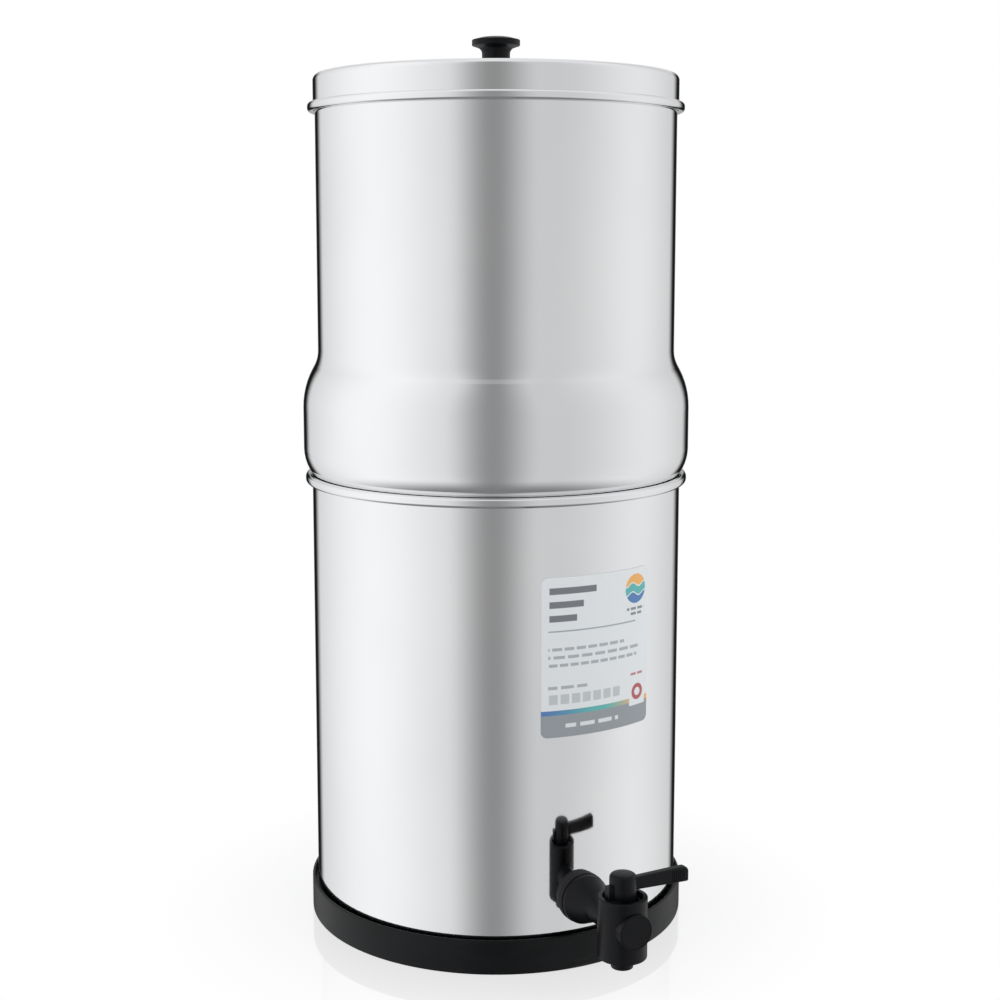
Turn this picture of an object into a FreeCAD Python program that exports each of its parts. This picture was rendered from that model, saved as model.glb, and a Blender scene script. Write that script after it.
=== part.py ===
"""Two-chamber gravity water filter with a quarter-turn tap, in millimetres.

The origin is the centre of the base ring's underside and +Z is up. The tap points along -Y.
The upper chamber nests in the rim of the lower one and holds two ceramic candles.
"""

import math
import os

import FreeCAD
import Part
from FreeCAD import Vector

# Sheet and seats
WALL = 0.7                      # steel sheet
SEAT_GAP = 0.3                  # between pieces that lift apart
FIT_GAP = 0.05                  # running fit of round parts
SNUG_GAP = 0.1                  # push fit of round parts
ROLL_EASE = 0.01                # flat left between the two rounds of a rolled edge

# Lower chamber
LOWER_RADIUS = 107.5            # outside of the wall
LOWER_RIM_HEIGHT = 261.0        # centre of the rolled rim
LOWER_BEAD_RADIUS = 2.3         # of the rolled rim's round top and bottom
LOWER_BEAD_STRAIGHT = 1.0       # upright part of the rolled rim, below that centre
LOWER_FLOOR_ROUND = 7.0         # outside corner of the floor

# Base ring
BASE_PAD = 4.0                  # rubber under the floor
BASE_HEIGHT = 19.9
BASE_LIP = 1.6                  # thickness of the upstanding lip
BASE_GROOVE_WIDTH = 1.7         # between the lip and the rubber that holds the wall
BASE_GROOVE_DEPTH = 4.5
BASE_LEDGE = 17.5               # how far the rubber reaches in under the floor
BASE_FOOT_ROUND = 1.2
BASE_EDGE_ROUND = 0.7

# Upper chamber
UPPER_INSET = 4.1               # of its straight wall from the lower chamber's
BULGE_OVERHANG = 4.8            # of its bulge beyond the lower chamber's wall
BULGE_FOOT_ROUND = 25.0         # the arc that nests in the lower rim
UPPER_HEIGHT = 236.1            # from its floor's underside to its hem's top
FLARE_LOW_RISE = 60.1           # above the floor, where the flare would meet the bulge
FLARE_HIGH_RISE = 76.6          # above the floor, where it would meet the straight wall
FLARE_ROUND_LOW = 46.0
FLARE_ROUND_HIGH = 18.0

# Lid
LID_CORNER = 3.4                # outside corner round
LID_BEAD_RADIUS = 1.95
LID_BEAD_STRAIGHT = 1.2         # upright part of the rolled edge
LID_DEPTH = 18.9                # from the top down to the lower centre of the rolled edge
LID_DOME = 2.5                  # rise of the top in the middle
LID_BORDER = 12.0               # flat border between the corner and the dome
LID_DOME_BLEND = 60.0           # round where the dome leaves the border
KNOB_SEAT_DROP = 0.3            # flat pressed into the dome for the knob
KNOB_SEAT_MARGIN = 1.5          # of that flat beyond the knob's foot

# Knob
KNOB_HEIGHT = 19.6              # above the lid's middle
KNOB_RADIUS = 13.7
KNOB_NECK_RADIUS = 8.0
KNOB_FOOT_RADIUS = 9.2
KNOB_FOOT_HEIGHT = 7.0
KNOB_RIM = 3.2                  # height of the disc's edge
KNOB_DOME = 1.6                 # rise of the disc's top
KNOB_DOME_SHARE = 0.55          # flat part of that top
KNOB_DOME_ROUND = 14.0
KNOB_EDGE_ROUND = 0.5
KNOB_WAIST_ROUND = 9.0
KNOB_FLARE_ROUND = 3.6
KNOB_FLARE_HEIGHT = 2.0
SCREW_RADIUS = 2.0
SCREW_DEPTH = 11.0              # into the knob
SCREW_HEAD_RADIUS = 4.2
SCREW_HEAD_HEIGHT = 2.6
SCREW_SLOT_LENGTH = 5.0
SCREW_SLOT_WIDTH = 1.0
SCREW_SLOT_DEPTH = 1.4
KNOB_WASHER_RADIUS = 8.0
KNOB_WASHER_THICK = 1.2

# Candles and blanking plugs
PITCH_RADIUS = 52.0             # of the four holes in the upper floor
STEM_RADIUS = 5.5
STEM_BORE = 2.5
STEM_LENGTH = 30.0              # below the floor
HOLE_GAP = 0.6
CANDLE_RADIUS = 25.0
CANDLE_WALL = 8.0
CANDLE_HEIGHT = 168.0           # of the ceramic alone
MOUNT_RADIUS = 26.5
MOUNT_HEIGHT = 10.0
MOUNT_CUP = 5.0                 # how deep the ceramic stands in its mount
WASHER_RADIUS = 14.0
WASHER_THICK = 2.5
WING_HUB_RADIUS = 9.0
WING_HUB_HEIGHT = 8.0
WING_SPAN = 17.0
WING_HEIGHT = 13.0
WING_THICK = 3.0
PLUG_HEAD_RADIUS = 11.0
PLUG_HEAD_HEIGHT = 5.0
PLUG_STEM_LENGTH = 16.0
PLUG_NUT_FLATS = 19.0
PLUG_NUT_HEIGHT = 6.0

# Label
LABEL_WIDTH = 72.0
LABEL_HEIGHT = 88.0
LABEL_DROP = 41.5               # from the rolled rim down to the label's top
LABEL_TURN = 6.1                # degrees towards +X from the tap
LABEL_THICK = 0.2
LABEL_GLUE = 0.1                # adhesive between the label and the steel
LABEL_ROUND = 3.5

# Tap
TAP_REACH = 44.5                # from the wall to the body's axis
TAP_BARREL_HEIGHT = 39.4        # above the surface that the filter stands on
TAP_BODY_RADIUS = 13.2
TAP_BODY_DOWN = 16.2            # straight part of the body below the barrel's axis
TAP_BODY_UP = 16.9              # and above it
TAP_CHAMFER = 2.4
NOZZLE_RADIUS = 5.9
NOZZLE_LENGTH = 6.2             # chamfer and nozzle together
NOZZLE_BORE = 4.2
NOZZLE_DRAFT = 0.4
BARREL_RADIUS = 7.5
BARREL_BORE = 4.2
FLANGE_RADIUS = 13.6
FLANGE_THICK = 3.0
FLANGE_CONE = 13.0
FLANGE_BLEND = 14.0
THREAD_RADIUS = 8.0
THREAD_LENGTH = 17.0            # inside the chamber
OUTER_WASHER_RADIUS = 14.0
OUTER_WASHER_THICK = 2.6
INNER_WASHER_RADIUS = 13.0
INNER_WASHER_THICK = 2.0
BACK_NUT_FLATS = 24.0
BACK_NUT_HEIGHT = 7.0

# Valve plug, its seals and the ring that holds it down
PLUG_RADIUS = 7.4
PLUG_DOWN = 14.5                # seat of the plug below the barrel's axis
PLUG_UP = 9.5                   # shoulder of the plug above it
PLUG_PORT = 4.0
STEM_NECK_RADIUS = 4.0
STEM_FLAT = 2.8                 # from the axis to the flat that drives the handle
STEM_IN_CAP = 10.9              # length of the stem inside the handle
ORING_SECTION = 0.8
ORING_LOW = 9.5                 # below the barrel's axis
ORING_HIGH = 5.8                # above it
BONNET_THICK = 3.0
BONNET_RADIUS = 8.6

# Handle and its stops
CAP_RADIUS = 7.2
CAP_HEIGHT = 15.1
CAP_ROUND = 2.4
CAP_CROWN = 0.6                 # rise of the cap's low dome
CAP_CROWN_SHARE = 0.35          # flat part of the dome
CAP_CROWN_ROUND = 8.0
LEVER_REACH = 39.5
LEVER_RISE = 8.4                # of its middle above the cap's underside
LEVER_ROOT_HEIGHT = 6.8
LEVER_TIP_HEIGHT = 8.4
LEVER_THICK = 5.2
LEVER_ROUND = 1.4
LEVER_TIP_LENGTH = 8.0          # thicker end of the lever
LEVER_ROOT_SHARE = 0.6          # of the cap's radius, where the lever starts
LUG_REACH = 9.6
LUG_WIDTH = 4.6
LUG_HEIGHT = 8.8
RECESS_RADIUS = 10.9
RECESS_DEPTH = 2.7
STOP_ANGLE = 30.0               # width of each stop in the recess
STOP_GAP = 1.5                  # degrees left at each end of the quarter turn
QUARTER = 90.0

# Round plate on the front of the tap
BOSS_RADIUS = 9.7
BOSS_RISE = 1.6                 # of its centre above the barrel's axis
BOSS_STAND = 1.2                # beyond the body's front
PLATE_RADIUS = 8.7
PLATE_THICK = 1.0
TAP_EDGE_ROUND = 0.5            # on the nozzle, flange and boss

UP = Vector(0, 0, 1)
OUT = Vector(0, -1, 0)

BASE_HOLD_RADIUS = LOWER_RADIUS + SNUG_GAP
BASE_RADIUS = BASE_HOLD_RADIUS + BASE_GROOVE_WIDTH + BASE_LIP
UPPER_RADIUS = LOWER_RADIUS - UPPER_INSET
BULGE_RADIUS = LOWER_RADIUS + BULGE_OVERHANG

LABEL_BOTTOM = LOWER_RIM_HEIGHT - LABEL_DROP - LABEL_HEIGHT
TAP_AXIS = LOWER_RADIUS + TAP_REACH
TAP_BODY_BOTTOM = TAP_BARREL_HEIGHT - TAP_BODY_DOWN
TAP_BODY_TOP = TAP_BARREL_HEIGHT + TAP_BODY_UP
NOZZLE_BOTTOM = TAP_BODY_BOTTOM - NOZZLE_LENGTH
BOSS_HEIGHT = TAP_BARREL_HEIGHT + BOSS_RISE
BOSS_FACE = TAP_AXIS + TAP_BODY_RADIUS + BOSS_STAND
PLUG_FLOOR = TAP_BARREL_HEIGHT - PLUG_DOWN
PLUG_TOP = TAP_BARREL_HEIGHT + PLUG_UP
ORING_HEIGHTS = (TAP_BARREL_HEIGHT - ORING_LOW, TAP_BARREL_HEIGHT + ORING_HIGH)
BONNET_BOTTOM = PLUG_TOP + FIT_GAP
BONNET_TOP = BONNET_BOTTOM + BONNET_THICK
RECESS_FLOOR = TAP_BODY_TOP - RECESS_DEPTH
CAP_BOTTOM = RECESS_FLOOR + SEAT_GAP
CAP_TOP = CAP_BOTTOM + CAP_HEIGHT
STEM_TOP = CAP_BOTTOM + STEM_IN_CAP
LEVER_CENTRE = CAP_BOTTOM + LEVER_RISE
LUG_TOP = CAP_BOTTOM + LUG_HEIGHT


def outline_wire(points):
    """Closed wire through (radius, height, rounding) corners in the XZ plane."""
    corners = [Vector(r, 0, z) for r, z, _ in points]
    count = len(points)
    ends = []
    arcs = []
    for i, corner in enumerate(corners):
        rounding = points[i][2]
        back = (corners[i - 1] - corner).normalize()
        ahead = (corners[(i + 1) % count] - corner).normalize()
        if rounding == 0:
            ends.append((corner, corner))
            arcs.append(None)
            continue
        half = back.getAngle(ahead) / 2
        reach = rounding / math.tan(half)
        start = corner + back * reach
        stop = corner + ahead * reach
        middle_way = (back + ahead).normalize()
        middle = corner + middle_way * (rounding / math.sin(half) - rounding)
        ends.append((start, stop))
        arcs.append(Part.Arc(start, middle, stop).toShape())
    edges = []
    for i in range(count):
        if arcs[i] is not None:
            edges.append(arcs[i])
        start = ends[i][1]
        stop = ends[(i + 1) % count][0]
        if start.distanceToPoint(stop) > 1e-6:
            edges.append(Part.LineSegment(start, stop).toShape())
    return Part.Wire(edges)


def turned(points):
    """Solid of revolution about Z of a closed outline of corners."""
    face = Part.Face(outline_wire(points))
    return face.revolve(Vector(0, 0, 0), UP, 360)


def cylinder(radius, bottom, top, centre=(0, 0)):
    return Part.makeCylinder(radius, top - bottom, Vector(centre[0], centre[1], bottom), UP)


def tube(outer, inner, bottom, top, centre=(0, 0)):
    return cylinder(outer, bottom, top, centre).cut(cylinder(inner, bottom - 1, top + 1, centre))


def outward(radius, start, stop, height):
    """Cylinder along the tap's barrel between two distances from the chamber's axis."""
    return Part.makeCylinder(radius, stop - start, OUT * start + UP * height, OUT)


def ring(radius, section, height, centre=(0, 0)):
    return Part.makeTorus(radius, section, Vector(centre[0], centre[1], height), UP)


def rolled_edge(inner, radius, low, high, round_low, round_high):
    """Ring of rolled sheet: straight between two centres' heights, round at its outside.

    The two last values are the rounds of its inner corners below and above.
    """
    outer = inner + 2 * radius
    round_out = radius - ROLL_EASE
    return turned([
        (inner, low - radius, round_low),
        (outer, low - radius, round_out),
        (outer, high + radius, round_out),
        (inner, high + radius, round_high),
    ])


def hexagon(flats, start, height, way, centre):
    """Hexagonal prism of a given size across flats, along way from centre + way * start."""
    across = flats / math.sqrt(3)
    points = []
    for i in range(7):
        angle = math.radians(60 * i)
        points.append(Vector(across * math.cos(angle), across * math.sin(angle), 0))
    prism = Part.Face(Part.makePolygon(points)).extrude(UP * height)
    prism.Placement = FreeCAD.Placement(centre + way * start, FreeCAD.Rotation(UP, way))
    return prism


def placed(shape, x, y, turn=0):
    """Copy of a shape made about the Z axis, turned and moved to x, y."""
    copy = shape.copy()
    copy.rotate(Vector(0, 0, 0), UP, turn)
    copy.translate(Vector(x, y, 0))
    return copy


def hole_places(offset):
    """The two opposite places on the pitch circle that start at offset degrees."""
    places = []
    for turn in (offset, offset + 180):
        angle = math.radians(turn)
        places.append((PITCH_RADIUS * math.cos(angle), PITCH_RADIUS * math.sin(angle), turn))
    return places


CANDLE_PLACES = hole_places(0)
PLUG_PLACES = hole_places(90)


def upper_floor_height():
    """Underside of the upper chamber's floor, from its foot resting on the lower rim."""
    foot_centre = BULGE_RADIUS - BULGE_FOOT_ROUND
    across = LOWER_RADIUS - WALL + LOWER_BEAD_RADIUS - foot_centre
    reach = BULGE_FOOT_ROUND + LOWER_BEAD_RADIUS + SEAT_GAP
    return LOWER_RIM_HEIGHT + math.sqrt(reach ** 2 - across ** 2) - BULGE_FOOT_ROUND


UPPER_FLOOR = upper_floor_height()
FLOOR_TOP = UPPER_FLOOR + WALL
RIM_TOP = UPPER_FLOOR + UPPER_HEIGHT
FLARE_LOW = UPPER_FLOOR + FLARE_LOW_RISE
FLARE_HIGH = UPPER_FLOOR + FLARE_HIGH_RISE
HEM_RADIUS = LID_CORNER - WALL - SEAT_GAP
LID_TOP = RIM_TOP + SEAT_GAP + WALL
LID_BEAD_HEIGHT = LID_TOP - LID_DEPTH
KNOB_SEAT = LID_TOP + LID_DOME - KNOB_SEAT_DROP


def lower_chamber():
    """Deep-drawn can with a rolled rim and the tap's hole."""
    inner = LOWER_RADIUS - WALL
    floor = BASE_PAD
    can = turned([
        (0, floor, 0),
        (LOWER_RADIUS, floor, LOWER_FLOOR_ROUND),
        (LOWER_RADIUS, LOWER_RIM_HEIGHT, 0),
        (inner, LOWER_RIM_HEIGHT, 0),
        (inner, floor + WALL, LOWER_FLOOR_ROUND - WALL),
        (0, floor + WALL, 0),
    ])
    bead = rolled_edge(inner, LOWER_BEAD_RADIUS, LOWER_RIM_HEIGHT - LOWER_BEAD_STRAIGHT, LOWER_RIM_HEIGHT,
                       0, LOWER_BEAD_RADIUS - ROLL_EASE)
    hole = outward(THREAD_RADIUS + HOLE_GAP, inner - 5, LOWER_RADIUS + 5, TAP_BARREL_HEIGHT)
    return can.fuse(bead).removeSplitter().cut(hole)


def base_ring():
    """Rubber foot with an upstanding lip and a groove beside the steel."""
    hole = LOWER_RADIUS - BASE_LEDGE
    groove = BASE_RADIUS - BASE_LIP
    groove_floor = BASE_HEIGHT - BASE_GROOVE_DEPTH
    return turned([
        (hole, 0, BASE_EDGE_ROUND),
        (BASE_RADIUS, 0, BASE_FOOT_ROUND),
        (BASE_RADIUS, BASE_HEIGHT, BASE_EDGE_ROUND),
        (groove, BASE_HEIGHT, BASE_EDGE_ROUND),
        (groove, groove_floor, 0),
        (BASE_HOLD_RADIUS, groove_floor, 0),
        (BASE_HOLD_RADIUS, BASE_PAD, LOWER_FLOOR_ROUND),
        (hole, BASE_PAD, BASE_EDGE_ROUND),
    ])


def label():
    """Thin rounded rectangle lying on the lower wall."""
    half_turn = math.degrees(LABEL_WIDTH / 2 / LOWER_RADIUS)
    back = LOWER_RADIUS + LABEL_GLUE
    skin = tube(back + LABEL_THICK, back, LABEL_BOTTOM, LABEL_BOTTOM + LABEL_HEIGHT)
    block_half = LOWER_RADIUS * math.sin(math.radians(half_turn))
    block = Part.makeBox(2 * block_half, LOWER_RADIUS, LABEL_HEIGHT,
                         Vector(-block_half, -LOWER_RADIUS - 5, LABEL_BOTTOM))
    corners = [edge for edge in block.Edges if is_along(edge, OUT)]
    sheet = skin.common(block.makeFillet(LABEL_ROUND, corners))
    sheet.rotate(Vector(0, 0, 0), UP, LABEL_TURN)
    return sheet


def is_along(edge, way):
    """Whether a straight edge runs along a direction."""
    if not isinstance(edge.Curve, Part.Line):
        return False
    run = (edge.Vertexes[-1].Point - edge.Vertexes[0].Point).normalize()
    return abs(run.dot(way)) > 0.999


def upper_outline(inset):
    """Corners of the upper chamber's outside, or of its inside at one wall's inset."""
    return [
        (0, UPPER_FLOOR + inset, 0),
        (BULGE_RADIUS - inset, UPPER_FLOOR + inset, BULGE_FOOT_ROUND - inset),
        (BULGE_RADIUS - inset, FLARE_LOW, FLARE_ROUND_LOW - inset),
        (UPPER_RADIUS - inset, FLARE_HIGH, FLARE_ROUND_HIGH + inset),
    ]


def upper_chamber():
    """Straight can with a bulge low down, an inward hem and four stem holes."""
    hem_height = RIM_TOP - HEM_RADIUS
    outside = turned(upper_outline(0) + [(UPPER_RADIUS, hem_height, 0), (0, hem_height, 0)])
    inside = turned(upper_outline(WALL) + [(UPPER_RADIUS - WALL, hem_height + 1, 0), (0, hem_height + 1, 0)])
    hem = ring(UPPER_RADIUS - HEM_RADIUS, HEM_RADIUS, hem_height)
    can = outside.cut(inside).fuse(hem).removeSplitter()
    for x, y, _ in CANDLE_PLACES + PLUG_PLACES:
        can = can.cut(cylinder(STEM_RADIUS + HOLE_GAP, UPPER_FLOOR - 1, FLOOR_TOP + 1, (x, y)))
    return can


def lid_shell():
    """Pressed lid: slightly domed top, straight skirt and rolled edge."""
    skirt = UPPER_RADIUS + SEAT_GAP
    border = skirt - LID_CORNER - LID_BORDER
    centre_top = LID_TOP + LID_DOME
    shell = turned([
        (0, centre_top, 0),
        (border, LID_TOP, LID_DOME_BLEND),
        (skirt + WALL, LID_TOP, LID_CORNER),
        (skirt + WALL, LID_BEAD_HEIGHT, 0),
        (skirt, LID_BEAD_HEIGHT, 0),
        (skirt, LID_TOP - WALL, LID_CORNER - WALL),
        (border, LID_TOP - WALL, LID_DOME_BLEND),
        (0, centre_top - WALL, 0),
    ])
    bead = rolled_edge(skirt, LID_BEAD_RADIUS, LID_BEAD_HEIGHT, LID_BEAD_HEIGHT + LID_BEAD_STRAIGHT,
                       LID_BEAD_RADIUS - ROLL_EASE, 0)
    hole = cylinder(SCREW_RADIUS + SNUG_GAP, LID_TOP - 5, centre_top + 5)
    flat_radius = KNOB_FOOT_RADIUS + KNOB_SEAT_MARGIN
    flat = cylinder(flat_radius, KNOB_SEAT, centre_top + 5)
    pad = cylinder(flat_radius, KNOB_SEAT - WALL, KNOB_SEAT)
    return shell.fuse(bead).removeSplitter().cut(flat).fuse(pad).cut(hole).removeSplitter()


def lid_knob():
    """Turned knob: waisted neck under a disc with a low dome."""
    top = KNOB_SEAT + KNOB_HEIGHT
    rim_top = top - KNOB_DOME
    rim_bottom = rim_top - KNOB_RIM
    knob = turned([
        (0, KNOB_SEAT, 0),
        (KNOB_FOOT_RADIUS, KNOB_SEAT, KNOB_EDGE_ROUND),
        (KNOB_NECK_RADIUS, KNOB_SEAT + KNOB_FOOT_HEIGHT, KNOB_WAIST_ROUND),
        (KNOB_NECK_RADIUS, rim_bottom - KNOB_FLARE_HEIGHT, KNOB_FLARE_ROUND),
        (KNOB_RADIUS, rim_bottom, 0.3),
        (KNOB_RADIUS, rim_top, KNOB_EDGE_ROUND),
        (KNOB_RADIUS * KNOB_DOME_SHARE, top, KNOB_DOME_ROUND),
        (0, top, 0),
    ])
    screw_hole = cylinder(SCREW_RADIUS + FIT_GAP, KNOB_SEAT - 1, KNOB_SEAT + SCREW_DEPTH + SEAT_GAP)
    return knob.cut(screw_hole)


def knob_washer():
    top = KNOB_SEAT - WALL
    return tube(KNOB_WASHER_RADIUS, SCREW_RADIUS + SNUG_GAP, top - KNOB_WASHER_THICK, top)


def knob_screw():
    """Pan-head screw driven up through the washer and lid into the knob."""
    seat = KNOB_SEAT - WALL - KNOB_WASHER_THICK
    bottom = seat - SCREW_HEAD_HEIGHT
    head = turned([
        (0, bottom, 0),
        (SCREW_HEAD_RADIUS, bottom, SCREW_HEAD_HEIGHT / 2),
        (SCREW_HEAD_RADIUS, seat, 0),
        (0, seat, 0),
    ])
    shank = cylinder(SCREW_RADIUS, bottom + SCREW_HEAD_HEIGHT / 2, KNOB_SEAT + SCREW_DEPTH)
    screw = head.fuse(shank)
    for turn in (0, 90):
        corner = Vector(-SCREW_SLOT_LENGTH / 2, -SCREW_SLOT_WIDTH / 2, bottom - 1)
        slot = Part.makeBox(SCREW_SLOT_LENGTH, SCREW_SLOT_WIDTH, SCREW_SLOT_DEPTH + 1, corner)
        slot.rotate(Vector(0, 0, 0), UP, turn)
        screw = screw.cut(slot)
    return screw


def candle_shell():
    """Ceramic dome, open below, standing in its mount."""
    bottom = mount_top() - MOUNT_CUP
    top = bottom + CANDLE_HEIGHT
    inner = CANDLE_RADIUS - CANDLE_WALL
    return turned([
        (inner, bottom, 0),
        (CANDLE_RADIUS, bottom, 0),
        (CANDLE_RADIUS, top, CANDLE_RADIUS - 1.0),
        (0, top, 0),
        (0, top - CANDLE_WALL, 0),
        (inner, top - CANDLE_WALL, inner - 1.0),
    ])


def mount_bottom():
    return FLOOR_TOP + WASHER_THICK


def mount_top():
    return mount_bottom() + MOUNT_HEIGHT


def candle_mount():
    """Plastic cup that holds the ceramic, with a hollow threaded stem through the floor."""
    cup = turned([
        (0, mount_bottom(), 0),
        (MOUNT_RADIUS, mount_bottom(), 1.5),
        (MOUNT_RADIUS, mount_top(), 0.6),
        (CANDLE_RADIUS + SNUG_GAP, mount_top(), 0),
        (CANDLE_RADIUS + SNUG_GAP, mount_top() - MOUNT_CUP, 0),
        (0, mount_top() - MOUNT_CUP, 0),
    ])
    stem = cylinder(STEM_RADIUS, UPPER_FLOOR - STEM_LENGTH, mount_bottom() + 1)
    bore = cylinder(STEM_BORE, UPPER_FLOOR - STEM_LENGTH - 1, mount_top() + 1)
    return cup.fuse(stem).removeSplitter().cut(bore)


def stem_washer():
    return tube(WASHER_RADIUS, STEM_RADIUS + SNUG_GAP, FLOOR_TOP, FLOOR_TOP + WASHER_THICK)


def wing_nut():
    """Hub with two wings, screwed up against the floor from below."""
    bottom = UPPER_FLOOR - WING_HUB_HEIGHT
    nut = cylinder(WING_HUB_RADIUS, bottom, UPPER_FLOOR)
    for side in (-1, 1):
        wing = Part.makeBox(WING_SPAN - WING_HUB_RADIUS + 3, WING_THICK, WING_HEIGHT,
                            Vector(WING_HUB_RADIUS - 3, -WING_THICK / 2, UPPER_FLOOR - WING_HEIGHT))
        tips = [e for e in wing.Edges if is_along(e, Vector(0, 1, 0)) and e.CenterOfMass.x > WING_SPAN - 1]
        wing = wing.makeFillet(3.0, tips)
        wing.rotate(Vector(0, 0, 0), UP, 90 - 90 * side)
        nut = nut.fuse(wing)
    return nut.removeSplitter().cut(cylinder(STEM_RADIUS + SNUG_GAP, bottom - WING_HEIGHT, UPPER_FLOOR + 1))


def blanking_plug():
    """Headed stopper for a hole that holds no candle."""
    head_bottom = FLOOR_TOP + WASHER_THICK
    head = turned([
        (0, head_bottom, 0),
        (PLUG_HEAD_RADIUS, head_bottom, 0),
        (PLUG_HEAD_RADIUS, head_bottom + PLUG_HEAD_HEIGHT, 1.5),
        (0, head_bottom + PLUG_HEAD_HEIGHT, 0),
    ])
    return head.fuse(cylinder(STEM_RADIUS, UPPER_FLOOR - PLUG_STEM_LENGTH, head_bottom + 1)).removeSplitter()


def plug_nut():
    nut = hexagon(PLUG_NUT_FLATS, 0, PLUG_NUT_HEIGHT, UP, UP * (UPPER_FLOOR - PLUG_NUT_HEIGHT))
    return nut.cut(cylinder(STEM_RADIUS + SNUG_GAP, UPPER_FLOOR - PLUG_NUT_HEIGHT - 1, UPPER_FLOOR + 1))


def wall_cutter():
    """The space taken by the lower chamber's wall and everything inside it."""
    return cylinder(LOWER_RADIUS, 0, LOWER_RIM_HEIGHT)


def flange_start():
    return LOWER_RADIUS + OUTER_WASHER_THICK


def outer_washer():
    """Rubber washer between the curved wall and the tap's flange."""
    disc = outward(OUTER_WASHER_RADIUS, LOWER_RADIUS - 3, flange_start(), TAP_BARREL_HEIGHT)
    bore = outward(THREAD_RADIUS + SNUG_GAP, LOWER_RADIUS - 4, flange_start() + 1, TAP_BARREL_HEIGHT)
    return disc.cut(bore).cut(wall_cutter())


def inner_washer():
    """Rubber washer inside, pressed to the curved wall by the back nut."""
    wall = LOWER_RADIUS - WALL
    face = inner_face()
    disc = outward(INNER_WASHER_RADIUS, face, wall + 1, TAP_BARREL_HEIGHT)
    bore = outward(THREAD_RADIUS + SNUG_GAP, face - 1, wall + 2, TAP_BARREL_HEIGHT)
    return disc.common(cylinder(wall, 0, LOWER_RIM_HEIGHT)).cut(bore)


def inner_face():
    """Distance from the axis to the inner washer's flat side."""
    wall = LOWER_RADIUS - WALL
    return math.sqrt(wall ** 2 - INNER_WASHER_RADIUS ** 2) - INNER_WASHER_THICK


def back_nut():
    nut = hexagon(BACK_NUT_FLATS, 0, BACK_NUT_HEIGHT, -OUT, OUT * inner_face() + UP * TAP_BARREL_HEIGHT)
    bore = outward(THREAD_RADIUS + SNUG_GAP, inner_face() - BACK_NUT_HEIGHT - 1, inner_face() + 1,
                   TAP_BARREL_HEIGHT)
    return nut.cut(bore)


def tap_body():
    """Vertical valve body with its nozzle, barrel, flange and threaded tail."""
    shell = turned([
        (0, NOZZLE_BOTTOM, 0),
        (NOZZLE_RADIUS, NOZZLE_BOTTOM, TAP_EDGE_ROUND),
        (NOZZLE_RADIUS + NOZZLE_DRAFT, TAP_BODY_BOTTOM - TAP_CHAMFER, 0),
        (TAP_BODY_RADIUS, TAP_BODY_BOTTOM, 0.6),
        (TAP_BODY_RADIUS, TAP_BODY_TOP, 0.6),
        (0, TAP_BODY_TOP, 0),
    ])
    shell.translate(OUT * TAP_AXIS)
    start = flange_start()
    axis = FreeCAD.Placement(UP * TAP_BARREL_HEIGHT, FreeCAD.Rotation(UP, OUT))
    barrel = turned([
        (0, LOWER_RADIUS - THREAD_LENGTH, 0),
        (THREAD_RADIUS, LOWER_RADIUS - THREAD_LENGTH, 0.8),
        (THREAD_RADIUS, start, 0),
        (FLANGE_RADIUS, start, TAP_EDGE_ROUND),
        (FLANGE_RADIUS, start + FLANGE_THICK, 0.8),
        (BARREL_RADIUS, start + FLANGE_THICK + FLANGE_CONE, FLANGE_BLEND),
        (BARREL_RADIUS, TAP_AXIS - BARREL_BORE, 0),
        (0, TAP_AXIS - BARREL_BORE, 0),
    ])
    barrel.Placement = axis
    boss = outward(BOSS_RADIUS, TAP_AXIS, BOSS_FACE, BOSS_HEIGHT)
    front = [edge for edge in boss.Edges if edge.CenterOfMass.y < -TAP_AXIS - 1 and edge.Closed]
    boss = boss.makeFillet(TAP_EDGE_ROUND, front)
    body = shell.fuse(barrel).fuse(boss).removeSplitter()
    plate_seat = BOSS_FACE - PLATE_THICK
    cuts = [
        cylinder(PLUG_RADIUS + FIT_GAP, PLUG_FLOOR, TAP_BODY_TOP + 1, (0, -TAP_AXIS)),
        cylinder(BONNET_RADIUS + FIT_GAP, BONNET_BOTTOM, TAP_BODY_TOP + 1, (0, -TAP_AXIS)),
        cylinder(NOZZLE_BORE, NOZZLE_BOTTOM - 1, PLUG_FLOOR + 1, (0, -TAP_AXIS)),
        outward(BARREL_BORE, LOWER_RADIUS - THREAD_LENGTH - 1, TAP_AXIS, TAP_BARREL_HEIGHT),
        outward(PLATE_RADIUS + FIT_GAP, plate_seat, plate_seat + 5, BOSS_HEIGHT),
        handle_recess(),
    ]
    for cut in cuts:
        body = body.cut(cut)
    return body


def lug_half_angle():
    return math.degrees(math.asin(LUG_WIDTH / 2 / CAP_RADIUS)) + STOP_GAP


def sector(radius, bottom, top, start, stop):
    """Pie slice about the valve's axis between two angles."""
    slice_ = Part.makeCylinder(radius, top - bottom, Vector(0, -TAP_AXIS, bottom), UP, stop - start)
    slice_.rotate(Vector(0, -TAP_AXIS, 0), UP, start)
    return slice_


def handle_recess():
    """Ring-shaped recess in the body's top, with two stops left standing for the lug."""
    recess = cylinder(RECESS_RADIUS, RECESS_FLOOR, TAP_BODY_TOP + 1, (0, -TAP_AXIS))
    clear = BONNET_RADIUS + FIT_GAP
    low = QUARTER - lug_half_angle()
    high = 2 * QUARTER + lug_half_angle()
    for start, stop in ((low - STOP_ANGLE, low), (high, high + STOP_ANGLE)):
        stop_block = sector(RECESS_RADIUS + 1, RECESS_FLOOR - 1, TAP_BODY_TOP + 2, start, stop)
        hub = cylinder(clear, RECESS_FLOOR - 2, TAP_BODY_TOP + 3, (0, -TAP_AXIS))
        recess = recess.cut(stop_block.cut(hub))
    return recess


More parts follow.
